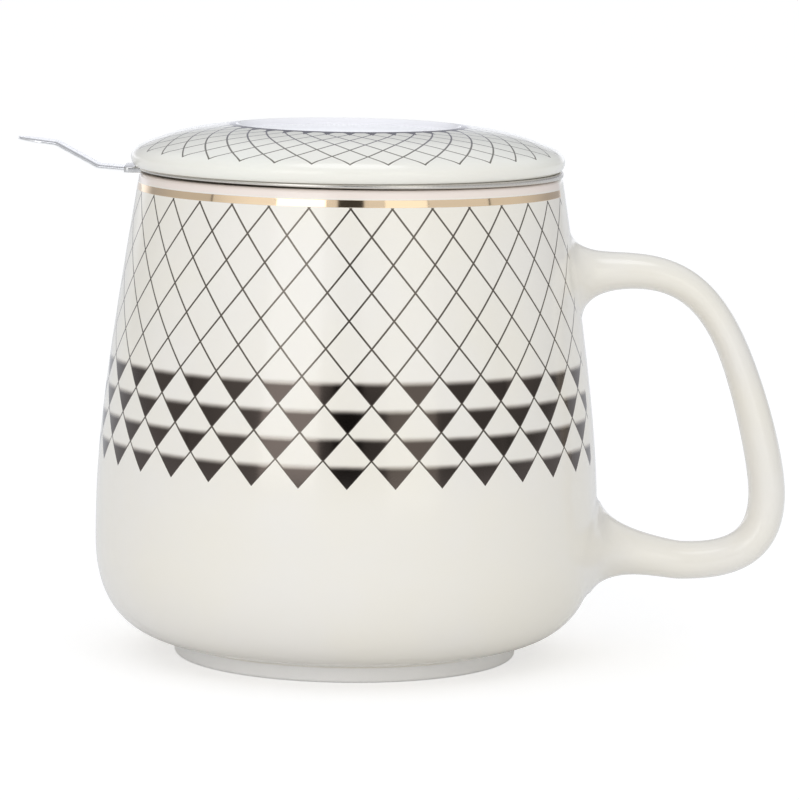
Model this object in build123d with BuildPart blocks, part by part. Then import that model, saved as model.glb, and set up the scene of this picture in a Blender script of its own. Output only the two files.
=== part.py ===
from build123d import *

import os
from math import cos, exp, pi, radians, sin, tan

# A lidded tea mug with a lift-out infuser. Lengths are in millimetres and angles in degrees.
# The origin is on the mug's axis, on the plane that its foot stands on, and +Z is up.
# The mug's handle points along +X and the infuser's handle along -X.

# ---- Mug body: an upright pear shape on a foot ring ----
mug_height = 94.6
rim_radius = 41.2  # outside, at the lip
rim_taper = 9.5  # lean of the wall at the lip, from the vertical
rim_pull = 49.0  # how far the side leaves the lip before it bends
belly_radius = 49.3
belly_height = 23.0
belly_pull_up = 12.5  # how far the side stays upright above the belly
belly_pull_down = 16.1  # and below it
underside_angle = 5.8  # rise of the underside where it leaves the foot
underside_pull = 6.2
mug_wall = 3.0
lip_round = 1.3
floor_thickness = 4.2
floor_radius = 31.0  # flat part of the floor, inside
floor_pull = 8.5
foot_radius = 33.6
foot_height = 3.3
foot_width = 3.4
foot_recess = 2.6
foot_round = 0.7

# ---- Mug handle: an oval bar that flares where it is luted to the side ----
handle_root_depth = 7.3  # the bar's middle line starts to bend this far inside the belly radius
handle_root_length = 5.0  # and runs on straight into the body, where it is cut away
handle_top = 75.0  # height of the upper root
handle_top_angle = 10.0  # the upper arm leaves the side rising by this much
handle_top_pull = 16.2
slant_out = 25.5  # the upper bend ends here, beyond the belly, and the slanting back begins
slant_height = 62.5
slant_angle = 64.8  # below level
slant_pull_up = 16.6
slant_pull_down = 9.0
handle_reach = 33.5  # the outermost point of the bar's middle line, beyond the belly
handle_reach_height = 32.4
reach_pull_up = 6.4
reach_pull_down = 11.3
heel_out = 16.9  # the lower bend ends here, beyond the belly
handle_bottom = 19.2  # the lowest point of the bar's middle line
heel_pull_out = 9.0
heel_pull_in = 2.7
lower_root_height = 21.9
lower_root_pull = 10.8
arm_thickness = 7.2
grip_thickness = 6.0  # where the bar is thinnest, at the top of the slanting back
grip_width = 10.5
grip_place = 0.31  # the thinnest place, as a fraction of the bar's length
grip_spread = 0.15
top_flare = 7.8  # growth of the bar where it meets the side
bottom_flare = 9.5
top_flare_width = 5.0
bottom_flare_width = 7.0
top_flare_length = 2.8  # the growth dies away over this length
bottom_flare_length = 4.4
bar_sections = 25
section_crowding = 0.6  # the sections stand closer together near both roots

# ---- Infuser: a steel rim, a woven mesh cup and a bent strip for a handle ----
infuser_rim_radius = 41.4
infuser_rim_thickness = 1.1  # the flange is folded back on itself
hem_width = 3.3
hem_round = 0.45
sheet = 0.4  # steel sheet of the flange, the collar and the base ring
basket_radius = 36.0  # outside of the mesh
basket_depth = 62.4  # from the top of the flange to the underside of the base ring
mesh_thickness = 0.35
base_mesh_play = 0.1  # air between the base mesh and the ring that it lies in
collar_depth = 4.0
base_ring_height = 3.5
base_ring_lip = 3.5
bend_round = 0.3
tab_reach = 2.7  # the clip that holds the strip stands out from the flange
tab_width = 12.0
tab_round = 1.5
strip_thickness = 0.4
strip_width = 10.0
strip_fit = 0.02  # air on each side of the strip in its clip
strip_overlap = 2.0  # length of strip held inside the flange
strip_reach = 64.9  # tip of the strip, from the axis
strip_straight_out = 0.5  # it leaves the clip straight for this length
strip_level_end = 7.9  # first bend, beyond the flange
strip_level_angle = 4.0
strip_ramp = 8.1  # horizontal length of the slanting stretch
strip_ramp_angle = 28.0
strip_tip_angle = 7.0
strip_bend_radius = 2.5

# ---- Lid: a low dome with a shallow dish in its top and a locating skirt below ----
lid_shift = 0.65  # it rests this far off centre, towards the infuser's handle, within its play
lid_radius = 42.3
lid_edge_height = 2.0  # the widest point, above the seat
lid_seat_radius = 41.0
lid_edge_pull_down = 1.2
lid_edge_pull_up = 0.8
lid_shoulder_inset = 2.3  # where the rounded edge turns into the dome
lid_shoulder_height = 4.3
lid_shoulder_angle = 21.8
lid_shoulder_pull = 1.2
lid_dome_pull_out = 7.0
lid_dome_pull_in = 9.7
lid_crown_height = 8.5  # the dome at the edge of the dish, above the seat
lid_crown_angle = 6.3
lid_wall = 3.0
lid_dish_radius = 21.8
lid_dish_depth = 1.2
lid_dish_slope = 0.8  # how much narrower the dish is at its bottom, on each side
lid_dish_round = 0.3
lid_skirt_depth = 5.0
lid_skirt_wall = 2.6
lid_skirt_clearance = 1.0
lid_skirt_round = 0.8
ceiling_pull = 1.0  # how sharply the inside of the dome turns up from the skirt

cut_margin = 1.0  # a pocket's cutting form runs this far out past its mouth

# ---- Heights that follow from the sizes above ----
floor_top = foot_recess + floor_thickness
lid_seat = mug_height + infuser_rim_thickness
basket_bottom = lid_seat - basket_depth
mesh_floor = basket_bottom + sheet


# Bezier points of the mug's side: from its lower end up to the belly, then from there to the lip.
def side_points(inset, lower_start, lower_pull):
    belly = (belly_radius - inset, belly_height)
    lip = (rim_radius - inset, mug_height)
    lean = radians(rim_taper)
    below_lip = (lip[0] + rim_pull * sin(lean), lip[1] - rim_pull * cos(lean))
    lower = [lower_start, lower_pull, (belly[0], belly_height - belly_pull_down), belly]
    upper = [belly, (belly[0], belly_height + belly_pull_up), below_lip, lip]
    return lower, upper


# ---- The mug's outside and inside as full forms ----
rise = radians(underside_angle)
underside_start = (foot_radius, foot_height)
underside_end = (foot_radius + underside_pull * cos(rise), foot_height + underside_pull * sin(rise))
floor_edge = (floor_radius, floor_top)
floor_bend = (floor_radius + floor_pull, floor_top)
outer_lower, outer_upper = side_points(0, underside_start, underside_end)
inner_lower, inner_upper = side_points(mug_wall, floor_edge, floor_bend)

with BuildPart() as mug_outside:
    with BuildSketch(Plane.XZ):
        with BuildLine():
            Polyline((0, mug_height), (0, 0), (foot_radius, 0), underside_start)
            Bezier(*outer_lower)
            Bezier(*outer_upper)
            Line((rim_radius, mug_height), (0, mug_height))
        make_face()
    revolve(axis=Axis.Z)

with BuildPart() as mug_inside:
    with BuildSketch(Plane.XZ):
        with BuildLine():
            Polyline((0, mug_height), (0, floor_top), floor_edge)
            Bezier(*inner_lower)
            Bezier(*inner_upper)
            Line((rim_radius - mug_wall, mug_height), (0, mug_height))
        make_face()
    revolve(axis=Axis.Z)

# ---- Mug body ----
with BuildPart() as mug_body:
    add(mug_outside.part)
    add(mug_inside.part, mode=Mode.SUBTRACT)
    with BuildSketch(Plane.XY):
        Circle(foot_radius - foot_width)
    extrude(amount=foot_recess, mode=Mode.SUBTRACT)
    fillet(mug_body.edges().group_by(Axis.Z)[-1], lip_round)
    fillet(mug_body.edges().group_by(Axis.Z)[0], foot_round)
mug_body.part.label = "mug_body"

# ---- Mug handle: ovals lofted along a smooth line, then fitted to the mug's side ----
root_x = belly_radius - handle_root_depth
top_rise = radians(handle_top_angle)
slant_fall = radians(slant_angle)
slant = Vector(belly_radius + slant_out, 0, slant_height)
slant_way = Vector(cos(slant_fall), 0, -sin(slant_fall))
reach = Vector(belly_radius + handle_reach, 0, handle_reach_height)
heel = Vector(belly_radius + heel_out, 0, handle_bottom)
top_root = Vector(root_x, 0, handle_top)
top_way = Vector(cos(top_rise), 0, sin(top_rise))
lower_root = Vector(root_x, 0, lower_root_height)
outward = Vector(1, 0, 0)
upward = Vector(0, 0, 1)
with BuildLine() as handle_line:
    Line(top_root - top_way * handle_root_length, top_root)
    Bezier(top_root, top_root + top_way * handle_top_pull, slant - slant_way * slant_pull_up, slant)
    Bezier(slant, slant + slant_way * slant_pull_down, reach + upward * reach_pull_up, reach)
    Bezier(reach, reach - upward * reach_pull_down, heel + outward * heel_pull_out, heel)
    Bezier(heel, heel - outward * heel_pull_in, lower_root + outward * lower_root_pull, lower_root)
    Line(lower_root, lower_root - outward * handle_root_length)
bar = handle_line.wire()
hidden_ends = bar.intersect(mug_outside.part).edges()
top_ends = hidden_ends.filter_by_position(Axis.Z, handle_reach_height, mug_height)
bottom_ends = hidden_ends.filter_by_position(Axis.Z, 0, handle_reach_height)
top_inside = sum(edge.length for edge in top_ends)
bottom_inside = sum(edge.length for edge in bottom_ends)


# Thickness and width of the bar at a distance along its middle line.
def bar_section(distance):
    from_top = max(distance - top_inside, 0)
    from_bottom = max(bar.length - bottom_inside - distance, 0)
    top_growth = exp(-from_top / top_flare_length)
    bottom_growth = exp(-from_bottom / bottom_flare_length)
    waist = exp(-(((distance / bar.length - grip_place) / grip_spread) ** 2))
    thickness = arm_thickness - (arm_thickness - grip_thickness) * waist
    thickness += top_flare * top_growth + bottom_flare * bottom_growth
    width = grip_width + top_flare_width * top_growth + bottom_flare_width * bottom_growth
    return thickness, width


with BuildPart() as mug_handle:
    for number in range(bar_sections):
        share = number / (bar_sections - 1)
        distance = bar.length * (share - section_crowding * sin(2 * pi * share) / (2 * pi))
        thickness, width = bar_section(distance)
        place = Plane(
            origin=bar.position_at(distance, PositionMode.LENGTH),
            x_dir=(0, 1, 0),
            z_dir=bar.tangent_at(distance, PositionMode.LENGTH),
        )
        with BuildSketch(place):
            Ellipse(width / 2, thickness / 2)
    loft()
    add(mug_outside.part, mode=Mode.SUBTRACT)
mug_handle.part.label = "mug_handle"

# ---- Infuser rim: flange with a folded edge, a collar for the mesh and a clip for the strip ----
hem_inside = infuser_rim_radius - hem_width
collar_outside = basket_radius + sheet
clip_end = infuser_rim_radius + tab_reach
strip_middle = mug_height + infuser_rim_thickness / 2
with BuildPart() as infuser_rim:
    with BuildSketch(Plane.XZ):
        with BuildLine():
            Polyline(
                (basket_radius, lid_seat - collar_depth),
                (collar_outside, lid_seat - collar_depth),
                (collar_outside, lid_seat - sheet),
                (hem_inside, lid_seat - sheet),
                (hem_inside, mug_height),
                (infuser_rim_radius, mug_height),
                (infuser_rim_radius, lid_seat),
                (basket_radius, lid_seat),
                close=True,
            )
        make_face()
    revolve(axis=Axis.Z)
    with BuildSketch(Plane.XY.offset(mug_height)):
        with Locations((-(hem_inside + clip_end) / 2, 0)):
            RectangleRounded(clip_end - hem_inside, tab_width, tab_round)
    extrude(amount=infuser_rim_thickness)
    outer_edges = infuser_rim.edges().filter_by(GeomType.CIRCLE)
    outer_edges = outer_edges.filter_by(lambda edge: abs(edge.radius - infuser_rim_radius) < 0.01)
    fillet(outer_edges, hem_round)
    with BuildSketch(Plane.XY.offset(strip_middle - strip_thickness / 2 - strip_fit)):
        with Locations((-(infuser_rim_radius - strip_overlap), 0)):
            Rectangle(
                strip_overlap + tab_reach + cut_margin,
                strip_width + 2 * strip_fit,
                align=(Align.MAX, Align.CENTER),
            )
    extrude(amount=strip_thickness + 2 * strip_fit, mode=Mode.SUBTRACT)
infuser_rim.part.label = "infuser_rim"

# ---- Infuser mesh cup: woven sleeve and base, held in a crimped ring ----
with BuildPart() as infuser_wall_mesh:
    with BuildSketch(Plane.XY.offset(mesh_floor + mesh_thickness)):
        Circle(basket_radius)
        Circle(basket_radius - mesh_thickness, mode=Mode.SUBTRACT)
    extrude(amount=lid_seat - sheet - mesh_floor - mesh_thickness)
infuser_wall_mesh.part.label = "infuser_wall_mesh"

with BuildPart() as infuser_base_mesh:
    with BuildSketch(Plane.XY.offset(mesh_floor)):
        Circle(basket_radius - base_mesh_play)
    extrude(amount=mesh_thickness)
infuser_base_mesh.part.label = "infuser_base_mesh"

with BuildPart() as infuser_base_ring:
    with BuildSketch(Plane.XZ):
        with BuildLine():
            Polyline(
                (basket_radius - base_ring_lip, basket_bottom),
                (collar_outside, basket_bottom),
                (collar_outside, basket_bottom + base_ring_height),
                (basket_radius, basket_bottom + base_ring_height),
                (basket_radius, mesh_floor),
                (basket_radius - base_ring_lip, mesh_floor),
                close=True,
            )
        make_face()
    revolve(axis=Axis.Z)
    lowest_edges = infuser_base_ring.edges().group_by(Axis.Z)[0]
    fillet(lowest_edges.sort_by(SortBy.LENGTH)[-1], bend_round)
infuser_base_ring.part.label = "infuser_base_ring"

# ---- Infuser handle: a flat strip, bent up and level again, with a round tip ----
strip_start = -(infuser_rim_radius - strip_overlap)
clip_mouth = -clip_end
first_bend = -(infuser_rim_radius + strip_level_end)
second_bend = first_bend - strip_ramp
first_height = strip_middle + (clip_mouth - first_bend) * sin(radians(strip_level_angle))
second_height = first_height + strip_ramp * tan(radians(strip_ramp_angle))
tip_height = second_height + (second_bend + strip_reach) * sin(radians(strip_tip_angle))
with BuildPart() as infuser_handle:
    with BuildSketch(Plane.XZ):
        with BuildLine() as strip_line:
            FilletPolyline(
                (strip_start, strip_middle),
                (clip_mouth - strip_straight_out, strip_middle),
                (first_bend, first_height),
                (second_bend, second_height),
                (-strip_reach, tip_height),
                radius=strip_bend_radius,
            )
        trace(strip_line.edges(), strip_thickness)
    extrude(amount=strip_width / 2, both=True)
    with BuildSketch(Plane.XY):
        with Locations(((strip_start + strip_width - strip_reach) / 2, 0)):
            SlotOverall(strip_reach + strip_start + strip_width, strip_width)
    extrude(amount=tip_height + strip_thickness, mode=Mode.INTERSECT)
infuser_handle.part.label = "infuser_handle"

# ---- Lid: one section turned about its own axis ----
lid_plane = Plane(origin=(-lid_shift, 0, 0), x_dir=(1, 0, 0), z_dir=(0, -1, 0))
lid_axis = Axis((-lid_shift, 0, 0), (0, 0, 1))
skirt_outside = basket_radius - mesh_thickness - lid_skirt_clearance
skirt_inside = skirt_outside - lid_skirt_wall
skirt_bottom = lid_seat - lid_skirt_depth
crown = lid_seat + lid_crown_height
dish_floor = crown - lid_dish_depth
ceiling = dish_floor - lid_wall
shoulder_x = lid_radius - lid_shoulder_inset
shoulder_z = lid_seat + lid_shoulder_height
shoulder_lean = radians(lid_shoulder_angle)
shoulder_run = cos(shoulder_lean)
shoulder_fall = sin(shoulder_lean)
crown_lean = radians(lid_crown_angle)
edge_z = lid_seat + lid_edge_height
with BuildPart() as lid:
    with BuildSketch(lid_plane):
        with BuildLine():
            Polyline(
                (0, ceiling),
                (0, dish_floor),
                (lid_dish_radius - lid_dish_slope, dish_floor),
                (lid_dish_radius, crown),
            )
            Bezier(
                (lid_dish_radius, crown),
                (
                    lid_dish_radius + lid_dome_pull_in * cos(crown_lean),
                    crown - lid_dome_pull_in * sin(crown_lean),
                ),
                (
                    shoulder_x - lid_dome_pull_out * shoulder_run,
                    shoulder_z + lid_dome_pull_out * shoulder_fall,
                ),
                (shoulder_x, shoulder_z),
            )
            Bezier(
                (shoulder_x, shoulder_z),
                (
                    shoulder_x + lid_shoulder_pull * shoulder_run,
                    shoulder_z - lid_shoulder_pull * shoulder_fall,
                ),
                (lid_radius, edge_z + lid_edge_pull_up),
                (lid_radius, edge_z),
            )
            Bezier(
                (lid_radius, edge_z),
                (lid_radius, edge_z - lid_edge_pull_down),
                (lid_seat_radius + lid_edge_pull_down / 2, lid_seat),
                (lid_seat_radius, lid_seat),
            )
            Polyline(
                (lid_seat_radius, lid_seat),
                (skirt_outside, lid_seat),
                (skirt_outside, skirt_bottom),
                (skirt_inside, skirt_bottom),
                (skirt_inside, lid_seat),
            )
            Bezier(
                (skirt_inside, lid_seat),
                (skirt_inside, ceiling - ceiling_pull),
                (skirt_inside / 2, ceiling),
                (0, ceiling),
            )
        make_face()
    revolve(axis=lid_axis)
    fillet(lid.edges().group_by(Axis.Z)[-1], lid_dish_round)
    fillet(lid.edges().group_by(Axis.Z)[0], lid_skirt_round)
lid.part.label = "lid"

os.makedirs("parts", exist_ok=True)
export_step(mug_body.part, "parts/mug_body.step")
export_step(mug_handle.part, "parts/mug_handle.step")
export_step(infuser_rim.part, "parts/infuser_rim.step")
export_step(infuser_wall_mesh.part, "parts/infuser_wall_mesh.step")
export_step(infuser_base_mesh.part, "parts/infuser_base_mesh.step")
export_step(infuser_base_ring.part, "parts/infuser_base_ring.step")
export_step(infuser_handle.part, "parts/infuser_handle.step")
export_step(lid.part, "parts/lid.step")
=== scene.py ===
from math import cos, pi, radians, sin

import bmesh
import bpy
import numpy as np
from mathutils import Matrix, Vector


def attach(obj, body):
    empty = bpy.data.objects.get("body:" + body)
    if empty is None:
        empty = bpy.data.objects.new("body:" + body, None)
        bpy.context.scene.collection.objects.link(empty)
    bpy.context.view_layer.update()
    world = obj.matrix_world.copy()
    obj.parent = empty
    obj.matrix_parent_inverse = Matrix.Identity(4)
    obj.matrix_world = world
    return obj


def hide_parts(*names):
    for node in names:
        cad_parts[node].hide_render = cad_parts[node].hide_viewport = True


# A lidded tea mug with a lift-out infuser. Shapes are worked out in millimetres
# and written into the meshes in metres. +Z is up, the mug's handle points along
# +X, the infuser's strip along -X, and the camera looks along +Y.

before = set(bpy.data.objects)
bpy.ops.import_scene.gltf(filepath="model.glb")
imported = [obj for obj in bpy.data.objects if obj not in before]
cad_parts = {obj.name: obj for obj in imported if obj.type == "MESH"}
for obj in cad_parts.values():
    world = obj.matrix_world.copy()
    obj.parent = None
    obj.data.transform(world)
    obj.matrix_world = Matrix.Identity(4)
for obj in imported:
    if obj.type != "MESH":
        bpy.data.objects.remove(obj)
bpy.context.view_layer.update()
scene = bpy.context.scene
metre = 0.001  # one millimetre
axisY, axisZ = np.eye(3)[1:]


def bezier(points, count):
    # cubic Bezier: the four points weighted (1-t)^3, 3t(1-t)^2, 3t^2(1-t) and t^3
    t = np.linspace(0, 1, count)[:, None]
    p = np.array(points, float)
    s = 1 - t
    return s ** 3 * p[0] + 3 * t * s ** 2 * p[1] + 3 * t * t * s * p[2] + t ** 3 * p[3]


def straight(start, end, count):
    # even steps from start to end
    t = np.linspace(0, 1, count)[:, None]
    return (1 - t) * np.array(start, float) + t * np.array(end, float)


def straightRuns(points, counts):
    # a straight run from each point to the next
    return [straight(p, q, count) for p, q, count in zip(points, points[1:], counts)]


def unit(vectors):
    # each row divided by its length
    return vectors / np.maximum(np.linalg.norm(vectors, axis=-1, keepdims=True), 1e-9)


def stretches(line):
    # the length of each stretch of a line of points
    return np.linalg.norm(np.diff(line, axis=0), axis=1)


def pointsAt(distance, run, line):
    # the line's points at these distances along it
    axes = range(line.shape[1])
    return np.stack([np.interp(distance, run, line[:, axis]) for axis in axes], -1)


def falling(angle):
    # a unit step outwards and down at this angle, in degrees
    return np.array([cos(radians(angle)), -sin(radians(angle))])


def joinRuns(runs, rounds, steps=9):
    # Runs of points laid end to end. Where run n meets the next, a round of radius rounds[n] starts
    # radius / tan(half angle) before the corner and ends as far after it, on a circle whose centre
    # is radius / sin(half angle) from the corner.
    runs = [np.array(run, float) for run in runs]
    kept, arcs = list(runs), {}
    for number, radius in rounds.items():
        corner = runs[number][-1]
        back, ahead = unit(runs[number][-2] - corner), unit(runs[number + 1][1] - corner)
        half = np.arccos(np.clip(back @ ahead, -1, 1)) / 2
        trim = radius / np.tan(half)
        centre = corner + unit(back + ahead) * radius / np.sin(half)
        first, last = corner + back * trim - centre, corner + ahead * trim - centre
        swing, share = pi - 2 * half, np.linspace(0, 1, steps)[:, None]
        blend = np.sin((1 - share) * swing) * first + np.sin(share * swing) * last
        arcs[number] = centre + blend / np.sin(swing)
        for part in (number, number + 1):
            # what the round replaces goes, with a little to spare so that no two points coincide
            far = np.linalg.norm(kept[part] - corner, axis=1) > trim * 1.02
            kept[part] = kept[part][far]
    parts = [part for n, run in enumerate(kept) for part in (run, arcs.get(n, run[:0]))]
    line = np.vstack(parts)
    return line[np.append(True, stretches(line) > 1e-4)]


def newPiece(name, vertices, faces, material):
    # Vertices in millimetres, written to the mesh in metres. A closed mesh whose faces point
    # outwards holds a positive volume; if this one doesn't, its faces are turned.
    mesh = bpy.data.meshes.new(name)
    mesh.from_pydata((np.asarray(vertices) * metre).tolist(), [], [face.tolist() for face in faces])
    mesh.shade_smooth()
    mesh.materials.append(material)
    mesh.validate()
    mesh.update()
    shape = bmesh.new()
    shape.from_mesh(mesh)
    volume = shape.calc_volume(signed=True) / metre ** 3
    shape.free()
    if volume < 0:
        mesh.flip_normals()
    piece = bpy.data.objects.new(name, mesh)
    scene.collection.objects.link(piece)
    print(name, len(mesh.polygons), "faces,", round(abs(volume)), "cubic mm")
    return piece


def gridFaces(rows, columns, wrapRows=False):
    # quads between neighbours on closed rings; vertex (i, j) is number i * columns + j
    i = np.arange(rows if wrapRows else rows - 1)[:, None]
    j = np.arange(columns)[None, :]
    here, there = i * columns, (i + 1) % rows * columns
    ahead = (j + 1) % columns
    return np.stack([here + j, there + j, there + ahead, here + ahead], -1).reshape(-1, 4)


def fanFaces(pole, ring, turned=False):
    # triangles from one point to a closed ring
    ends = np.roll(ring, -1)
    order = (ends, ring) if turned else (ring, ends)
    return np.stack([np.full(ring.size, pole), *order], -1)


def sweptPiece(name, rows, startPole, endPole, material):
    # closed rings laid one after another, and a fan from one point over each end
    count, columns = rows.shape[0] * rows.shape[1], rows.shape[1]
    vertices = np.vstack([rows.reshape(-1, 3), startPole, endPole])
    ring = np.arange(columns)
    faces = list(gridFaces(rows.shape[0], columns))
    faces += list(fanFaces(count, ring))
    faces += list(fanFaces(count + 1, count - columns + ring, turned=True))
    return newPiece(name, vertices, faces, material)


def turnedPiece(name, profile, columns, material, middle=0.0, change=None):
    # A section turned about an upright axis at x = middle: point (r, z) at angle a goes to
    # (middle + r sin a, -r cos a, z). The section runs with the material on its right, either all
    # round or from the axis back to it. A change takes the points and returns them moved.
    r, z = profile[:, :1], profile[:, 1:]
    a = np.arange(columns) * 2 * pi / columns
    rows = np.stack([middle + r * np.sin(a), -r * np.cos(a), z + 0 * a], -1)
    if r[0, 0] < 1e-6:
        return sweptPiece(name, rows[1:-1], rows[0, 0], rows[-1, 0], material)
    points = rows.reshape(-1, 3)
    if change:
        points = change(points)
    return newPiece(name, points, gridFaces(len(rows), columns, wrapRows=True), material)


class Val:
    # a value in a node tree: arithmetic on it adds Math nodes
    def __init__(self, kit, socket):
        self.kit, self.socket = kit, socket

    def math(self, operation, *others): return self.kit.math(operation, self, *others)

    def __add__(self, other): return self.math("ADD", other)
    def __sub__(self, other): return self.math("SUBTRACT", other)
    def __mul__(self, other): return self.math("MULTIPLY", other)
    def __truediv__(self, other): return self.math("DIVIDE", other)
    def __pow__(self, other): return self.math("POWER", other)
    def __neg__(self): return self.math("MULTIPLY", -1.0)
    def __abs__(self): return self.math("ABSOLUTE")
    def __rsub__(self, other): return self.kit.math("SUBTRACT", other, self)
    def __rtruediv__(self, other): return self.kit.math("DIVIDE", other, self)
    __radd__, __rmul__ = __add__, __mul__

    def floor(self): return self.math("FLOOR")
    def fract(self): return self.math("FRACT")
    def root(self): return self.math("SQRT")
    def least(self, other): return self.math("MINIMUM", other)
    def most(self, other): return self.math("MAXIMUM", other)
    def over(self, other): return self.math("GREATER_THAN", other)
    def under(self, other): return self.math("LESS_THAN", other)

    def offWhole(self):
        # distance to the nearest whole number
        return abs(self - (self + 0.5).floor())

    def ramp(self, low, high):
        # 0 at low, 1 at high, smooth between; low may be the larger
        inputs = {"Value": self, "From Min": low, "From Max": high}
        return self.kit.value("MapRange", {"interpolation_type": "SMOOTHSTEP"}, inputs)

    def between(self, low, high, soft):
        # 1 from low to high, with both edges fading over twice soft
        return self.ramp(low - soft, low + soft) * self.ramp(high + soft, high - soft)


class Finish:
    # one material's node tree, or the world's
    def __init__(self, owner):
        owner.use_nodes = True
        self.tree = owner.node_tree
        self.tree.nodes.clear()

    def node(self, kind, settings=None, inputs=None):
        node = self.tree.nodes.new("ShaderNode" + kind)
        for key, setting in (settings or {}).items():
            setattr(node, key, setting)
        for key, value in (inputs or {}).items():
            if isinstance(value, Val):
                value = value.socket
            if isinstance(value, bpy.types.NodeSocket):
                self.tree.links.new(value, node.inputs[key])
            else:
                node.inputs[key].default_value = value
        return node

    def value(self, kind, settings=None, inputs=None):
        return Val(self, self.node(kind, settings, inputs).outputs[0])

    def math(self, operation, *inputs):
        return self.value("Math", {"operation": operation}, dict(enumerate(inputs)))

    def place(self):
        # object coordinates, in millimetres
        inputs = {0: self.node("TexCoord").outputs["Object"], "Scale": 1 / metre}
        return self.node("VectorMath", {"operation": "SCALE"}, inputs).outputs[0]

    def split(self, vector):
        return [Val(self, part) for part in self.node("SeparateXYZ", None, {0: vector}).outputs]

    def join(self, x, y, z):
        return self.node("CombineXYZ", None, {0: x, 1: y, 2: z}).outputs[0]

    def angle(self, x, y):
        # radians from the front, towards +X
        return self.math("ARCTAN2", x, -y)

    def noise(self, vector, scale, detail, rough=0.5):
        inputs = {"Vector": vector, "Scale": scale, "Detail": detail, "Roughness": rough}
        return self.value("TexNoise", None, inputs)

    def blend(self, mask, under, over):
        # colour under where mask is 0, colour over where it is 1
        mixed = self.node("Mix", {"data_type": "RGBA"}, {0: mask, 6: under, 7: over})
        return mixed.outputs[2]

    def bump(self, height, distance):
        inputs = {"Height": height, "Distance": distance}
        return self.node("Bump", None, inputs).outputs[0]

    def surface(self, **inputs):
        inputs = {name.replace("_", " "): value for name, value in inputs.items()}
        shader = self.node("BsdfPrincipled", None, inputs)
        self.node("OutputMaterial", None, {0: shader.outputs[0]})


def newFinish(name):
    # a material, its node tree, and object coordinates whole and split
    material = bpy.data.materials.new(name)
    finish = Finish(material)
    place = finish.place()
    return material, finish, place, finish.split(place)


def colour(red, green, blue):
    # 0 to 255 as a screen shows it, turned into light: ((c + 0.055) / 1.055)^2.4, or c / 12.92
    # in the dark
    c = np.array([red, green, blue]) / 255
    light = np.where(c <= 0.04045, c / 12.92, ((c + 0.055) / 1.055) ** 2.4)
    return (*light.tolist(), 1.0)


camera = {
    "place": (0.0, -0.850, 0.1587),
    "downward": 0.126944,  # radians, as are the next two
    "aside": 0.0118954,
    "tilt": 0.0157545,
    "focal": 4361.0,  # in pixels, as is the width
    "width": 799,
    "sensor": 36.0,
}


def placeCamera():
    # looks forward = cos p (sin y, cos y, 0) - sin p (0, 0, 1), then rolls about that line
    p, y, r = camera["downward"], camera["aside"], camera["tilt"]
    level, right, up = Vector((sin(y), cos(y), 0)), Vector((cos(y), -sin(y), 0)), Vector((0, 0, 1))
    forward, above = level * cos(p) - up * sin(p), level * sin(p) + up * cos(p)
    across, upright = right * cos(r) + above * sin(r), above * cos(r) - right * sin(r)
    data = bpy.data.cameras.new("camera")
    data.sensor_fit = "HORIZONTAL"
    data.sensor_width = camera["sensor"]
    data.lens = camera["focal"] * camera["sensor"] / camera["width"]
    data.clip_start, data.clip_end = 0.01, 50
    eye = bpy.data.objects.new("camera", data)
    turn = Matrix((across, upright, -forward)).transposed().to_4x4()
    eye.matrix_world = Matrix.Translation(camera["place"]) @ turn
    scene.collection.objects.link(eye)
    scene.camera = eye


placeCamera()
print("camera placed")


# the glaze pattern and the handle follow the mug's side too
mug = {
    "height": 94.6,
    "rim": 41.2,
    "lean": 9.5,
    "rimPull": 49.0,
    "belly": (49.3, 23.0),
    "pullUp": 12.5,
    "pullDown": 16.1,
    "foot": (33.6, 3.3),
    "underside": (39.7682, 3.9265),  # where the curve out of the foot is drawn to
    "wall": 3.0,
    "floor": (31.0, 6.8),
    "floorPull": 8.5,
    "lipRound": (1.3, 1.0),  # inside and outside
    "footWidth": 3.4,
    "recess": 2.6,
    "footRound": 0.7,
    "footCove": 0.5,
    "bareTo": 2.9,  # height of the unglazed foot
    "columns": 288,
}


def sideRuns(inset, low, lowPull, count):
    # the side from its low end to the belly, and from the belly to the lip
    bellyR, bellyZ = mug["belly"][0] - inset, mug["belly"][1]
    lip = (mug["rim"] - inset, mug["height"])
    lean = radians(mug["lean"])
    belowLip = (lip[0] + mug["rimPull"] * sin(lean), lip[1] - mug["rimPull"] * cos(lean))
    lower = bezier([low, lowPull, (bellyR, bellyZ - mug["pullDown"]), (bellyR, bellyZ)], count)
    upper = bezier([(bellyR, bellyZ), (bellyR, bellyZ + mug["pullUp"]), belowLip, lip], count)
    return lower, upper


outerLower, outerUpper = sideRuns(0, mug["foot"], mug["underside"], 400)
outerSide = np.vstack([outerLower, outerUpper[1:]])
sideLean = np.gradient(outerSide[:, 0], outerSide[:, 1])


def sideRadius(z):
    # the outer side's radius at a height
    return np.interp(z, outerSide[:, 1], outerSide[:, 0])


def sideNormal(points):
    # outward from the side: the radial direction, tipped up by the slope of the wall
    lean = np.interp(points[..., 2], outerSide[:, 1], sideLean)
    return unit(unit(points * (1 - axisZ)) - lean[..., None] * axisZ)


def offSide(points):
    # distance off the side, outward
    across = np.linalg.norm(points[..., :2], axis=-1) - sideRadius(points[..., 2])
    lean = np.interp(points[..., 2], outerSide[:, 1], sideLean)
    return across / np.sqrt(1 + lean * lean)


def ontoSide(points):
    # the same angle and height, at the side's radius
    radial = unit(points * (1 - axisZ))
    return radial * sideRadius(points[..., 2])[..., None] + points * axisZ


glaze = {
    "white": (237, 233, 225),
    "warm": (238, 233, 221),
    "roughness": 0.13,
    "bare": (250, 249, 247),  # the unglazed foot, its colour painted lighter to stand in for light reflected up from the floor
    "giltReflection": (240, 226, 217),  # a painted pink reflection of the gilt band, between the gilt line and the lip
}

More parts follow.
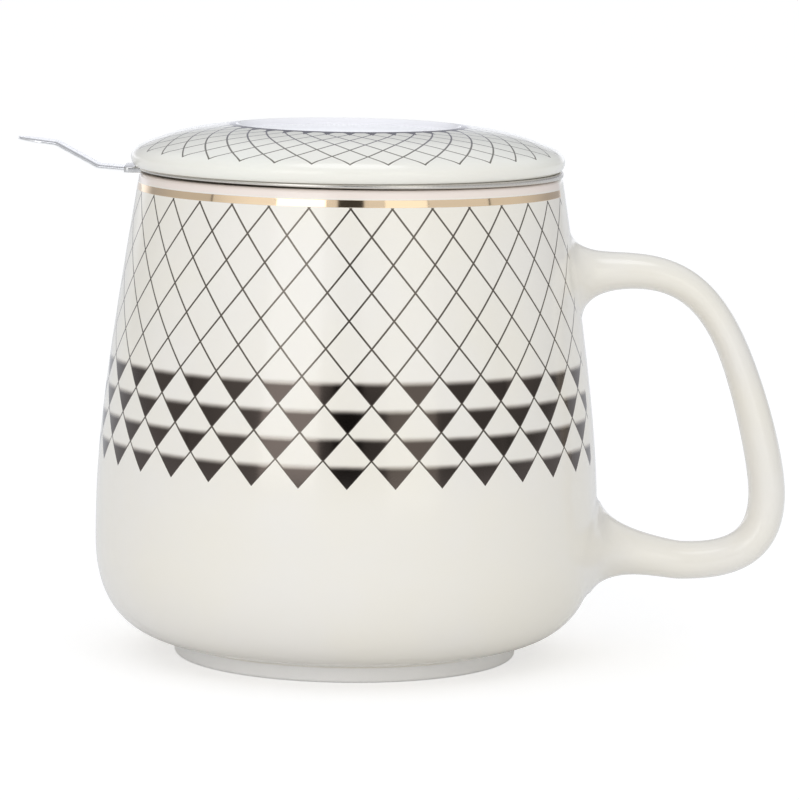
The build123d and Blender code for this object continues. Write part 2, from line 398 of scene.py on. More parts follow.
lattice = {
    "columnAngle": 10.716,  # degrees between two nodes of a row
    "rowHeight": 5.158,
    "topRow": 91.18,
    "lastRow": 10,
    "firstDark": 7,  # cells whose lowest corner is on this row or below have a dark foot
    "line": 0.35,
    "darkTo": 0.311,  # of a cell's height
    "fadeTo": 0.423,
    "gap": 13.6,  # degrees left bare on each side of the handle
    "from": 38.0,  # a height below all of it
    "bandLow": 91.4,
    "bandHigh": 92.8,
    "ink": (98, 91, 82),
    "dark": (88, 80, 75),
    "brown": (150, 136, 124),
    "gilt": (247, 222, 189),
}


def glazeBase(finish, place, look):
    # warm white with a faint clouding, and a surface that is very slightly uneven
    cloud = finish.noise(place, 0.035, 3.0)
    tone = finish.blend(cloud.ramp(0.3, 0.7), colour(*look["white"]), colour(*look["warm"]))
    swell = finish.noise(place, 0.06, 1.0)
    pits = finish.noise(place, 1.6, 2.0)
    return tone, swell * 0.9 + pits * 0.02


def latticeLines(column, row, radius, columnAngle, rowHeight, width):
    # Lines run where column + row / 2 or column - row / 2 is whole. The distance to one is how
    # far that sum is off the whole number, divided by the sum's slope: the root of
    # 1 / columnWidth^2 + 1 / (2 rowHeight)^2.
    a, b = column + row * 0.5, column - row * 0.5
    columnWidth = radius * radians(columnAngle)
    slant = (1 / (columnWidth * columnWidth) + 1 / (2 * rowHeight) ** 2).root()
    off = (a.offWhole() / slant).least(b.offWhole() / slant)
    return a, b, off.ramp(width / 2 + 0.06, width / 2 - 0.06)


def mugGlaze():
    # the lattice, the dark foot of its lower cells, the gilt band and the bare foot, over the glaze
    material, finish, place, (x, y, z) = newFinish("latticeGlaze")
    tone, swell = glazeBase(finish, place, glaze)
    radius = (x * x + y * y).root()
    # degrees from the front; the decoration's two ends are beside the handle, where the count breaks
    angle = finish.angle(x, y) * (180 / pi)
    angle = angle - angle.over(90) * 360
    columnAngle, rowHeight, half = lattice["columnAngle"], lattice["rowHeight"], lattice["line"] / 2
    p = angle / columnAngle  # columns
    q = (lattice["topRow"] - z) / rowHeight  # rows, from the top
    a, b, line = latticeLines(p, q, radius, columnAngle, rowHeight, lattice["line"])
    # the decoration ends in a zigzag, a point to each column
    zigzag = lattice["lastRow"] - 2 * p.offWhole()
    inside = (q - zigzag).under(half / rowHeight) * z.under(lattice["bandLow"] - 0.05)
    # it stops short of the handle on both sides
    besideHandle = angle.over(90 - lattice["gap"]).most(angle.under(lattice["gap"] - 270))
    # it is on the outside only: beyond a line that runs up through the middle of the wall
    lowZ, highZ = lattice["from"], mug["height"]
    lowR, highR = float(sideRadius(lowZ)), mug["rim"]
    slope = (lowR - highR) / (highZ - lowZ)
    outside = radius.over(highR - mug["wall"] / 2 + (highZ - z) * slope)
    shown = (1 - besideHandle) * outside
    # cells: lowest row of the cell, and how far up it a point is, with a slightly uneven edge
    lowest = a.floor() + 1 - b.floor()
    waver = finish.noise(place, 0.3, 1.0) * 0.014 - 0.007
    upCell = (1 - a.fract() + b.fract()) * 0.5 + waver
    darkCell = lowest.over(lattice["firstDark"] - 0.5) * lowest.under(lattice["lastRow"] + 0.5) * shown
    foot = upCell.ramp(lattice["fadeTo"], lattice["darkTo"]) * darkCell
    fringe = upCell.ramp(lattice["fadeTo"] + 0.03, lattice["fadeTo"] - 0.05) * darkCell
    line = line * inside * shown
    band = z.between(lattice["bandLow"], lattice["bandHigh"], 0.04) * shown
    # the unglazed foot; its colour is painted lighter to stand in for light reflected up from the
    # floor
    bare = z.ramp(mug["bareTo"] + 0.15, mug["bareTo"] - 0.15)
    # painted pink reflection of the gilt band on the glaze just above it
    overBand = z.ramp(lattice["bandHigh"], lattice["bandHigh"] + 0.5) * shown
    for mask, paint in (
        (overBand * 0.8, glaze["giltReflection"]), (line, lattice["ink"]), (fringe * 0.45, lattice["brown"]),
        (foot, lattice["dark"]), (band, lattice["gilt"]), (bare, glaze["bare"]),
    ):
        tone = finish.blend(mask, tone, colour(*paint))
    grain = finish.noise(place, 6.0, 2.0)
    height = swell * 0.02 + line.most(foot) * 0.012 + band * 0.015 + bare * grain * 0.05
    finish.surface(
        Base_Color=tone,
        Metallic=band.most(foot).most(line * 0.5),
        Roughness=glaze["roughness"] + bare * 0.6 - foot * 0.01 - band * 0.06,
        Normal=finish.bump(height, metre),
        IOR=1.5,
    )
    return material


def makeMug():
    # one turned section: floor, inner side, lip, outer side, foot ring and the recess inside it
    wall, floorTop = mug["wall"], mug["floor"]
    floorPull = (floorTop[0] + mug["floorPull"], floorTop[1])
    innerLower, innerUpper = sideRuns(wall, floorTop, floorPull, 46)
    lower, upper = sideRuns(0, mug["foot"], mug["underside"], 56)
    footR, innerFoot = mug["foot"][0], mug["foot"][0] - mug["footWidth"]
    lip, recess = mug["rim"], mug["recess"]
    under = [mug["foot"], (footR, 0), (innerFoot, 0), (innerFoot, recess), (0, recess)]
    profile = joinRuns(
        [
            straight((0, floorTop[1]), floorTop, 8),
            innerLower,
            innerUpper,
            straight((lip - wall, mug["height"]), (lip, mug["height"]), 3),
            upper[::-1],
            lower[::-1],
            *straightRuns(under, [4, 4, 4, 8]),
        ],
        {2: mug["lipRound"][0], 3: mug["lipRound"][1], 5: mug["footCove"], 6: mug["footRound"],
         7: mug["footRound"], 8: mug["footCove"]},
    )
    piece = turnedPiece("mugBody", profile, mug["columns"], bodyGlaze)
    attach(piece, "mug")
    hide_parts("mug_body")


bodyGlaze = mugGlaze()
makeMug()
print("mug body made")


handle = {
    "topRoot": (42.0, 75.0),
    "topAngle": 10.0,
    "topPull": 16.2,
    "slant": (74.8, 62.5),
    "slantAngle": 64.8,
    "slantPulls": (16.6, 9.0),
    "reach": (82.8, 32.4),
    "reachPulls": (6.4, 11.3),
    "heel": (66.2, 19.2),
    "heelPulls": (9.0, 2.7),
    "lowRoot": (42.0, 21.9),
    "lowPull": 10.8,
    "rootLength": 5.0,
    "thickness": 7.2,
    "thinnest": 6.0,
    "thinAt": 0.31,
    "thinSpread": 0.15,
    "width": 10.5,
    "topFlare": (7.8, 5.0, 2.8),  # added thickness, added width, and the length it dies away over
    "lowFlare": (9.5, 7.0, 4.4),
    "fillets": {"top": (1.4, 4.5), "low": (2.6, 9.0)},  # above and below a root, and beside it
    "sink": 0.03,  # how far the last row of a fillet lies under the side
    "plug": 1.2,  # how far the closed ends reach into the wall
    "filletRows": 18,
    "around": 80,
    "along": 190,
    "crowding": 0.55,  # how much closer the rows stand at the two ends
}


def handleLine():
    # the bar's middle line in the upright plane: four Beziers between two short straight ends
    topWay, slantWay = falling(-handle["topAngle"]), falling(handle["slantAngle"])
    out, up = np.eye(2)
    knots = ("topRoot", "slant", "reach", "heel", "lowRoot")
    top, slant, reach, heel, low = (np.array(handle[knot]) for knot in knots)
    slantUp, slantDown = handle["slantPulls"]
    reachUp, reachDown = handle["reachPulls"]
    heelOut, heelIn = handle["heelPulls"]
    count = 400
    runs = [
        straight(top - topWay * handle["rootLength"], top, 80),
        bezier([top, top + topWay * handle["topPull"], slant - slantWay * slantUp, slant], count),
        bezier([slant, slant + slantWay * slantDown, reach + up * reachUp, reach], count),
        bezier([reach, reach - up * reachDown, heel + out * heelOut, heel], count),
        bezier([heel, heel - out * heelIn, low + out * handle["lowPull"], low], count),
        straight(low, low - out * handle["rootLength"], 80),
    ]
    line = joinRuns(runs, {})
    return np.stack([line[:, 0], 0 * line[:, 0], line[:, 1]], -1)


def makeHandle():
    # Ovals square to the middle line: centre + cos f * width/2 across + sin f * thickness/2 in the
    # plane of the bar. Each of the lines along the bar is cut where it is one fillet's height off
    # the side. From there a fillet row w from 0 to 1 follows that line by a part (1-w)^2 of the rest
    # of its way, and moves outwards over the side by w^2 of the fillet's reach there.
    line = handleLine()
    run = np.append(0, np.cumsum(stretches(line)))
    length = run[-1]
    outside = offSide(line) > 0
    topInside = run[np.argmax(outside)]
    lowInside = length - run[len(run) - 1 - np.argmax(outside[::-1])]
    way = unit(np.gradient(line, run, axis=0))
    square = np.cross(way, axisY)
    (topThick, topWide, topFade), (lowThick, lowWide, lowFade) = handle["topFlare"], handle["lowFlare"]

    def surfaceAt(distance, f):
        # near a root both measures grow by the flare times e^(-distance from the side / its length)
        topGrowth = np.exp(-np.maximum(distance - topInside, 0) / topFade)
        lowGrowth = np.exp(-np.maximum(length - lowInside - distance, 0) / lowFade)
        waist = np.exp(-(((distance / length - handle["thinAt"]) / handle["thinSpread"]) ** 2))
        thick = handle["thickness"] - (handle["thickness"] - handle["thinnest"]) * waist
        thick = thick + topThick * topGrowth + lowThick * lowGrowth
        wide = handle["width"] + topWide * topGrowth + lowWide * lowGrowth
        normal = unit(pointsAt(distance, run, square))
        across = axisY * (np.cos(f) * wide / 2)[..., None]
        upward = normal * (np.sin(f) * thick / 2)[..., None]
        return pointsAt(distance, run, line) + across + upward

    f = np.arange(handle["around"]) * 2 * pi / handle["around"]

    def rootOf(root):
        # distances along the bar where each line leaves the side, and where it is one fillet's
        # height off it; that height is upright + (sideways - upright) * cos(f)^4
        upright, sideways = handle["fillets"][root]
        reachIn = np.linspace(0, 30, 1501)
        distance = reachIn if root == "top" else length - reachIn
        off = offSide(surfaceAt(distance[:, None] + 0 * f, f[None, :] + 0 * distance[:, None]))
        cuts = []
        for height in (0.0, upright + (sideways - upright) * np.cos(f) ** 4):
            last = len(reachIn) - 1 - np.argmax((off < height)[::-1], axis=0)
            columns = np.arange(f.size)
            low, high = off[last, columns], off[last + 1, columns]
            share = (height - low) / (high - low)
            cuts.append(distance[last] + share * (distance[last + 1] - distance[last]))
        return cuts

    def filletRows(cuts, root):
        upright, sideways = handle["fillets"][root]
        reach = np.array([sideways, sideways, upright])
        meeting = surfaceAt(cuts[0], f)
        foot = ontoSide(meeting)
        along = unit(np.roll(foot, -1, axis=0) - np.roll(foot, 1, axis=0))
        away = unit(np.cross(along, sideNormal(foot)))
        away *= np.sign(((foot - foot.mean(0)) * away).sum(1))[:, None]
        w = np.linspace(0, 1, handle["filletRows"] + 1)[1:, None, None]
        slid = ontoSide(foot + away * reach * w ** 2)
        sunk = sideNormal(slid) * handle["sink"] * w ** 4
        distance = cuts[0] + (cuts[1] - cuts[0]) * (1 - w[..., 0]) ** 2
        followed = surfaceAt(distance, f + 0 * w[..., 0])
        return slid + followed - meeting - sunk, foot

    topCuts, lowCuts = rootOf("top"), rootOf("low")
    topRows, topFoot = filletRows(topCuts, "top")
    lowRows, lowFoot = filletRows(lowCuts, "low")
    share = np.linspace(0, 1, handle["along"])[:, None]
    share = share - handle["crowding"] * np.sin(2 * pi * share) / (2 * pi)
    distance = topCuts[1] + share * (lowCuts[1] - topCuts[1])
    bar = surfaceAt(distance, f[None, :] + 0 * distance)
    topPlug, lowPlug = (foot - sideNormal(foot) * handle["plug"] for foot in (topFoot, lowFoot))
    rows = np.concatenate([topPlug[None], topRows[::-1], bar, lowRows, lowPlug[None]])
    piece = sweptPiece("mugHandle", rows, topPlug.mean(0), lowPlug.mean(0), bodyGlaze)
    # the last rows of each fillet take the side's own direction, so that the bar shades into the body
    mesh = piece.data
    normals = np.empty(len(mesh.vertices) * 3)
    mesh.vertices.foreach_get("normal", normals)
    normals = normals.reshape(-1, 3)
    points, columns, filletCount = rows.reshape(-1, 3), f.size, handle["filletRows"]
    share = np.linspace(0, 1, filletCount)[::-1]
    for first, weights in ((1, share), (len(rows) - 1 - filletCount, share[::-1])):
        span = slice(first * columns, (first + filletCount) * columns)
        weight = np.repeat(weights ** 2, columns)[:, None]
        normals[span] = unit(normals[span] * (1 - weight) + sideNormal(points[span]) * weight)
    mesh.normals_split_custom_set_from_vertices(normals.tolist())
    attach(piece, "mug")
    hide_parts("mug_handle")


makeHandle()
print("mug handle made")


# the infuser's rim, mesh cup and base ring
infuser = {
    "rim": 41.4,
    "top": 95.7,
    "thickness": 1.1,
    "hem": 3.3,
    "hemRound": 0.38,
    "hemRest": 39.5,  # the folded edge rests on the lip inside this radius
    "hemLift": (0.28, 0.27),  # how far it stands off it outside, and more towards the strip
    "liftOver": 0.4,
    "foldIn": 0.9,  # from the rim's edge to the inside of the fold
    "foldGap": 0.09,
    "sheet": 0.4,
    "basket": 36.0,
    "meshThickness": 0.35,
    "meshPlay": 0.1,
    "collar": 4.0,
    "bottom": 33.3,
    "ringHeight": 3.5,
    "ringLip": 3.5,
    "columns": 256,
    "meshPitch": 0.72,
    "wire": 0.26,
    # painted shade at a wire's edges and where it dips under another
    "wirePaintedShade": (120, 118, 114),
    "wireHigh": (206, 204, 199),
}

clip = {
    "inside": 1.0,  # how far outside the fold's inner edge it begins
    "reach": 2.7,
    "width": 12.0,
    "round": 0.8,
    "thinner": 0.04,  # than the rim
    "edge": 0.2,
    "mouth": (10.34, 0.62, 0.3),  # width, height and rounding of the opening
    "bevel": 0.12,
    "pocket": (10.04, 0.44),
    "pocketDepth": 3.2,
}

strip = {
    "start": -39.4,
    "middle": 95.15,
    "mouth": -44.1,
    "straightOut": 0.5,
    "firstBend": -49.3,
    "levelAngle": 4.0,
    "ramp": 8.1,
    "rampAngle": 28.0,
    "tip": -64.9,
    "tipAngle": 7.0,
    "bend": 2.5,
    "width": 10.0,
    "thickness": 0.4,
    "edge": 0.75,  # rounding of its long edges, of half the thickness
}


steels = {
    "brushedFlange": {"tone": (214, 210, 202), "roughness": 0.24, "grain": 0.06, "round": True},
    "brushedClip": {"tone": (212, 211, 209), "roughness": 0.2, "grain": 0.03, "round": False},
    "brushedBase": {"tone": (203, 200, 194), "roughness": 0.22, "grain": 0.06, "round": True},
    "brightStrip": {"tone": (250, 250, 249), "roughness": 0.13, "grain": 0.03, "round": False},
}


def steel(name):
    # Brushed steel. The brushing runs round the axis or else along X: noise that is fine across
    # the stroke and long down it.
    look = steels[name]
    material, finish, place, (x, y, z) = newFinish(name)
    if look["round"]:
        radius = (x * x + y * y).root()
        stroke = finish.join(radius * 9.0, z * 9.0, finish.angle(x, y) * 3.0)
    else:
        stroke = finish.join(x * 0.35, y * 9.0, z * 2.0)
    hair = finish.noise(stroke, 1.0, 3.0, 0.6)
    smear = finish.noise(place, 0.12, 2.0)
    darker = colour(*[c * 0.93 for c in look["tone"]])
    finish.surface(
        Base_Color=finish.blend(hair.ramp(0.35, 0.7), colour(*look["tone"]), darker),
        Metallic=1.0,
        Roughness=look["roughness"] + (hair - 0.5) * look["grain"] * 2 + (smear - 0.5) * 0.06,
        Normal=finish.bump(hair, metre * 0.006),
    )
    return material


def wovenSteel():
    # Plain weave: round and up the sleeve, and square on the base disc. There is wire where the
    # distance to the nearest middle line of a wire is under half a wire. Across a wire its height
    # is the root of 1 - (distance / half a wire)^2.
    material, finish, place, (x, y, z) = newFinish("wovenSteel")
    pitch, half = infuser["meshPitch"], infuser["wire"] / 2
    wires = round(2 * pi * infuser["basket"] / pitch / 2) * 2
    onSleeve = z.over(infuser["bottom"] + infuser["sheet"] + infuser["meshThickness"] + 0.01)
    onBase = 1 - onSleeve
    u = finish.angle(x, y) * (wires / 2 / pi) * onSleeve + x / pitch * onBase
    v = z / pitch * onSleeve + y / pitch * onBase
    offU, offV = u.offWhole() * pitch, v.offWhole() * pitch
    upright, level = offU.ramp(half + 0.03, half - 0.03), offV.ramp(half + 0.03, half - 0.03)
    # over and under: a wire rises where the sum of the two wire numbers is even
    even = (((u + 0.5).floor() + (v + 0.5).floor()) * 0.5).fract().under(0.25)
    roundU = (1 - (offU / half).least(1.0) ** 2).root()
    roundV = (1 - (offV / half).least(1.0) ** 2).root()
    height = (roundU * (0.55 + 0.45 * even)).most(roundV * (1 - 0.45 * even))
    # the wire's colour runs from painted shade at its edges and where it dips under to plain steel on
    # its crown
    low, high = colour(*infuser["wirePaintedShade"]), colour(*infuser["wireHigh"])
    finish.surface(
        Base_Color=finish.blend(height.ramp(0.0, 1.0), low, high),
        Metallic=1.0,
        Roughness=0.3 + finish.noise(place, 0.4, 2.0) * 0.08,
        Alpha=upright.most(level),
        Normal=finish.bump(height, metre * 0.12),
    )
    return material


def makeRim():
    # flange with its edge folded under, and the collar that the mesh is welded into
    rim, top, sheet = infuser["rim"], infuser["top"], infuser["sheet"]
    low, basket = top - infuser["thickness"], infuser["basket"]
    collarR, hemIn = basket + sheet, rim - infuser["hem"]
    foot, rest = top - infuser["collar"], infuser["hemRest"]
    fold, sheetLow = rim - infuser["foldIn"], top - sheet
    seam = sheetLow - infuser["foldGap"]
    corners = [
        (basket, foot), (basket, top), (rim, top), (rim, low), (rest, low), (hemIn, low),
        (hemIn, seam), (fold, seam), (fold, sheetLow), (collarR, sheetLow), (collarR, foot),
        (basket, foot),
    ]
    hem = infuser["hemRound"]
    rounds = {0: 0.35, 1: hem, 2: hem, 4: 0.15, 5: 0.1, 8: 0.3, 9: 0.1}
    section = joinRuns(straightRuns(corners, [6, 8, 4, 6, 3, 3, 4, 2, 6, 4, 2]), rounds)[:-1]
    lift, lean = infuser["hemLift"]

    def lifted(points):
        # the lower half of the folded edge rises outside the resting line, most at its underside
        radius = np.hypot(points[:, 0], points[:, 1])
        past = np.clip((radius - rest) / infuser["liftOver"], 0, 1)
        raised = (lift - lean * points[:, 0] / rim) * past
        share = np.clip((seam - points[:, 2]) / (seam - low), 0, 1)
        outer = radius > hemIn - 0.01
        return points + axisZ * (raised * share * outer)[:, None]

    flange = steel("brushedFlange")
    piece = turnedPiece("infuserRim", section, infuser["columns"], flange, change=lifted)
    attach(piece, "infuser")
    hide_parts("infuser_rim")


def stadium(width, height, edge, count=12):
    # outline of a flat bar: a rectangle whose corners are quarter circles
    edge = min(edge, height / 2, width / 2)
    quarter = np.linspace(0, pi / 2, count)
    parts = []
    for number, (across, up) in enumerate([(1, 1), (-1, 1), (-1, -1), (1, -1)]):
        centre = np.array([across * (width / 2 - edge), up * (height / 2 - edge)])
        angle = quarter + number * pi / 2
        parts.append(centre + edge * np.stack([np.cos(angle), np.sin(angle)], -1))
    return np.vstack(parts)


def makeClip():
    # A flattened sleeve that holds the strip: an outline carried along -X, whose width draws in
    # round the corners at its mouth, then turned back inside as the pocket.
    inner = infuser["rim"] - infuser["hem"] + clip["inside"]
    mouth = infuser["rim"] + clip["reach"]
    height, half = infuser["thickness"] - clip["thinner"], clip["width"] / 2
    middle, corner = infuser["top"] - infuser["thickness"] / 2, clip["round"]
    turn = np.linspace(0, pi / 2, 8)
    reaches = [inner, inner + 2, mouth - corner - 0.2, *(mouth - corner + corner * np.sin(turn))]
    halves = [half] * 3 + list(half - corner + corner * np.cos(turn))
    loops = [(r, stadium(2 * h, height, clip["edge"])) for r, h in zip(reaches, halves)]
    pocket, pocketEnd = stadium(*clip["pocket"], clip["edge"]), mouth - clip["pocketDepth"]
    loops += [(mouth, stadium(*clip["mouth"])), (mouth - clip["bevel"], pocket), (pocketEnd, pocket)]
    rows = np.stack([
        np.stack([-r + 0 * loop[:, 0], loop[:, 0], middle + loop[:, 1]], -1) for r, loop in loops
    ])
    ends = [-inner, 0, middle], [-pocketEnd, 0, middle]
    piece = sweptPiece("stripClip", rows, *ends, steel("brushedClip"))
    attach(piece, "infuser")
    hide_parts("infuser_rim")


def makeCup():
    # the sleeve and the base disc, each a thin closed wall
    basket, thin, woven = infuser["basket"], infuser["meshThickness"], wovenSteel()
    base, top = infuser["bottom"] + infuser["sheet"], infuser["top"] - infuser["sheet"]
    low = base + thin
    sleeve = np.vstack([
        straight((basket - thin, low), (basket - thin, top), 24),
        straight((basket, top), (basket, low), 24),
    ])
    wall = turnedPiece("wovenSleeve", sleeve, 256, woven)
    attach(wall, "infuser")
    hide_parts("infuser_wall_mesh")
    edge = basket - infuser["meshPlay"]
    disc = np.vstack([
        straight((0, low), (edge, low), 12),
        straight((edge, base), (0, base), 12),
    ])
    floor = turnedPiece("wovenBase", disc, 192, woven)
    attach(floor, "infuser")
    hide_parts("infuser_base_mesh")


def makeBaseRing():
    # an angle of sheet, crimped over the foot of the sleeve
    basket, sheet, low = infuser["basket"], infuser["sheet"], infuser["bottom"]
    out, high, lip = basket + sheet, low + infuser["ringHeight"], basket - infuser["ringLip"]
    corners = [
        (lip, low), (lip, low + sheet), (basket, low + sheet), (basket, high), (out, high),
        (out, low), (lip, low),
    ]
    rounds = {0: 0.12, 2: 0.12, 3: 0.12, 4: 0.3}
    section = joinRuns(straightRuns(corners, [2, 4, 4, 2, 4, 4]), rounds)[:-1]
    piece = turnedPiece("baseRing", section, infuser["columns"], steel("brushedBase"))
    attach(piece, "infuser")
    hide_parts("infuser_base_ring")


def stripLine():
    # middle line of the strip, as points in the upright plane with a round at every bend
    clipEnd, first = strip["mouth"], strip["firstBend"]
    second = first - strip["ramp"]
    h0 = strip["middle"]
    h1 = h0 + (clipEnd - first) * sin(radians(strip["levelAngle"]))
    ramp = radians(strip["rampAngle"])
    h2 = h1 + strip["ramp"] * sin(ramp) / cos(ramp)
    h3 = h2 + (second - strip["tip"]) * sin(radians(strip["tipAngle"]))
    clipOut = clipEnd - strip["straightOut"]
    points = [(strip["start"], h0), (clipOut, h0), (first, h1), (second, h2), (strip["tip"], h3)]
    bends = dict.fromkeys(range(3), strip["bend"])
    return joinRuns(straightRuns(points, [40] * 4), bends, steps=12)


def makeStrip():
    # A flat bar swept along its middle line. Its half width follows a half circle at the tip, and
    # over the last of its length its thickness follows a smaller one, so that the end is closed.
    line = stripLine()
    run = np.append(0, np.cumsum(stretches(line)))
    length, halfWidth, halfThick = run[-1], strip["width"] / 2, strip["thickness"] / 2
    turn = np.linspace(0, pi / 2, 30)
    tipRun = length - halfWidth + halfWidth * np.sin(turn)
    distance = np.concatenate([run[run < length - halfWidth - 0.3], tipRun[:-1]])
    inTip = np.clip(distance - length + halfWidth, 0, halfWidth)
    half = np.sqrt(halfWidth ** 2 - inTip ** 2)
    centre = pointsAt(distance, run, line)
    way = unit(pointsAt(distance, run, unit(np.gradient(line, run, axis=0))))
    up = np.stack([way[:, 1], -way[:, 0]], -1)
    up *= np.sign(up[:, 1])[:, None]
    # a square with rounded corners is stretched into the flat bar
    outline = stadium(2.0, 2.0, strip["edge"], 5)
    flat = np.clip(half - halfThick, 0.0, None)[:, None]
    edge = np.minimum(half, halfThick)[:, None]
    sideways = np.sign(np.round(outline[:, 0], 6))[None] * flat + outline[None, :, 0] * edge
    lift = outline[None, :, 1] * edge
    rows = np.stack([
        centre[:, None, 0] + up[:, None, 0] * lift,
        sideways,
        centre[:, None, 1] + up[:, None, 1] * lift,
    ], -1)
    ends = [line[0, 0], 0, line[0, 1]], [line[-1, 0], 0, line[-1, 1]]
    piece = sweptPiece("stripHandle", rows, *ends, steel("brightStrip"))
    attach(piece, "infuser")
    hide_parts("infuser_handle")


makeRim()
makeClip()
makeCup()
makeBaseRing()
makeStrip()
print("infuser made")


lid = {
    "middle": -0.65,
    "seat": 95.7,
    "radius": 42.3,
    "edgeHeight": 2.0,
    "seatRadius": 41.0,
    "edgePulls": (1.2, 0.8),
    "shoulder": (40.0, 100.0),
    "shoulderAngle": 21.8,
    "shoulderPull": 1.2,
    "domePulls": (9.7, 7.0),
    "crown": (21.8, 104.2),
    "crownAngle": 6.3,
    "dishDepth": 1.2,
    "dishSlope": 0.8,
    "dishRound": 0.3,
    "skirtOutside": 34.65,
    "skirtInside": 32.05,
    "skirtBottom": 90.7,
    "skirtRound": 0.8,
    "ceiling": 100.0,
    "columns": 288,
}

lidLattice = {
    "columnAngle": 10.0,
    "rowStep": 2.765,
    "firstRow": 41.13,
    "line": 0.33,
    "turn": 0.55,  # degrees the decoration is turned about the lid's axis
    "ringIn": 21.95,
    "ringOut": 23.2,
    "wedgeTip": 25.6,
    "ink": (110, 106, 95),
    # the lines nearer the crown, painted cooler to stand in for the cool light falling from above
    "inkCoolLight": (108, 104, 112),
    "ring": (74, 70, 84),
    "white": (242, 241, 231),
    "warm": (241, 238, 228),
    "dish": (252, 251, 251),
    "dishWall": (250, 249, 252),
}


def lidGlaze():
    # the same lattice with its rows measured inwards from the edge, and a dark ring of wedges
    material, finish, place, (x, y, z) = newFinish("lidGlaze")
    tone, swell = glazeBase(finish, place, lidLattice)
    x = x - lid["middle"]
    radius = (x * x + y * y).root()
    columnAngle, rowStep, width = lidLattice["columnAngle"], lidLattice["rowStep"], lidLattice["line"]
    p = finish.angle(x, y) * (180 / pi / columnAngle) - lidLattice["turn"] / columnAngle
    k = (lidLattice["firstRow"] - radius) / rowStep  # rows, inwards from the edge
    line = latticeLines(p, k, radius, columnAngle, rowStep, width)[2]
    onTop = z.over(lid["seat"] + 2.4) * radius.over(lidLattice["ringIn"])
    line = line * (k - 2 * p.offWhole()).over(-width / 2 / rowStep) * onTop
    ring = radius.between(lidLattice["ringIn"], lidLattice["ringOut"], 0.05)
    # wedges that stand on the ring, their points on the lattice's last row
    reach = (lidLattice["wedgeTip"] - radius) / (lidLattice["wedgeTip"] - lidLattice["ringOut"])
    wedge = p.offWhole() * (radius * radians(columnAngle)) - reach
    wedge = wedge.ramp(0.05, -0.05) * radius.over(lidLattice["ringOut"] - 0.1)
    ring = ring.most(wedge) * onTop
    crown = lid["crown"][0]
    inDish = radius.under(lidLattice["ringIn"]) * z.over(lid["ceiling"] + 1.0)
    onWall = inDish * radius.over(crown - lid["dishSlope"]) * radius.under(crown - 0.1)
    tone = finish.blend(inDish, tone, colour(*lidLattice["dish"]))
    tone = finish.blend(onWall, tone, colour(*lidLattice["dishWall"]))
    # towards the crown the lines take a painted cooler tint, standing in for the cool light from above
    outer, inner = colour(*lidLattice["ink"]), colour(*lidLattice["inkCoolLight"])
    ink = finish.blend(radius.ramp(38.0, 27.0), outer, inner)
    tone = finish.blend(line, tone, ink)
    tone = finish.blend(ring, tone, colour(*lidLattice["ring"]))
    finish.surface(
        Base_Color=tone,
        Metallic=line.most(ring) * 0.3,
        Roughness=glaze["roughness"] + finish.noise(place, 0.2, 2.0) * 0.04,
        Normal=finish.bump(swell * 0.02 + line.most(ring) * 0.012, metre),
        IOR=1.5,
    )
    return material


def makeLid():
    # one turned section: dish, dome, rounded edge, seat, skirt and the hollow underside
    seat, radius, seatR = lid["seat"], lid["radius"], lid["seatRadius"]
    crown, shoulder = np.array(lid["crown"]), np.array(lid["shoulder"])
    offCrown, offShoulder = falling(lid["crownAngle"]), falling(lid["shoulderAngle"])
    (pullIn, pullOut), (pullDown, pullUp) = lid["domePulls"], lid["edgePulls"]
    dish, edgeZ = crown - (lid["dishSlope"], lid["dishDepth"]), seat + lid["edgeHeight"]
    dome = [crown, crown + pullIn * offCrown, shoulder - pullOut * offShoulder, shoulder]
    fallPull, widest = shoulder + lid["shoulderPull"] * offShoulder, (radius, edgeZ)
    fall = [shoulder, fallPull, (radius, edgeZ + pullUp), widest]
    edge = [widest, (radius, edgeZ - pullDown), (seatR + pullDown / 2, seat), (seatR, seat)]
    outR, inR, low = lid["skirtOutside"], lid["skirtInside"], lid["skirtBottom"]
    ceiling = lid["ceiling"]
    skirt = [(seatR, seat), (outR, seat), (outR, low), (inR, low), (inR, seat)]
    profile = joinRuns(
        [
            *straightRuns([(0, dish[1]), dish, crown], [10, 5]),
            bezier(dome, 40),
            bezier(fall, 16),
            bezier(edge, 16),
            *straightRuns(skirt, [5, 5, 4, 5]),
            bezier([(inR, seat), (inR, ceiling - 1.0), (inR / 2, ceiling), (0, ceiling)], 30),
        ],
        {0: 0.35, 1: lid["dishRound"], 5: 0.4, 6: lid["skirtRound"], 7: lid["skirtRound"]},
    )
    piece = turnedPiece("porcelainLid", profile, lid["columns"], lidGlaze(), lid["middle"])
    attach(piece, "lid")
    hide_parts("lid")


makeLid()
print("lid made")


studio = {
    "floorSize": 16.0,
    "floorTone": (0.905, 0.905, 0.91),
    "floorShade": (0.535, 0.525, 0.51),  # of what the camera sees, the part that takes shadow
    "floorGlow": 0.565,  # and the part that doesn't
    "leftBox": {"azimuth": -26.3, "radiance": 2.0, "size": (0.473, 0.76), "tint": (0.985, 0.99, 1.0)},
    "rightBox": {"azimuth": 29.4, "radiance": 1.1, "size": (0.411, 0.86), "tint": (1.0, 1.0, 0.965)},
    "boxDistance": 1.0,
    "boxHeight": 0.42,
    "sky": 0.765,
    "skyBehind": 0.25,  # how much brighter the sky is behind the mug
    "sideDim": 0.26,  # how much darker the sky is towards the two sides
    "zenith": (1.17, 1.24, 1.37, 1.0),
    "horizon": (0.97, 0.96, 0.94, 1.0),
    "behind": (0.95, 0.965, 1.03, 1.0),
}


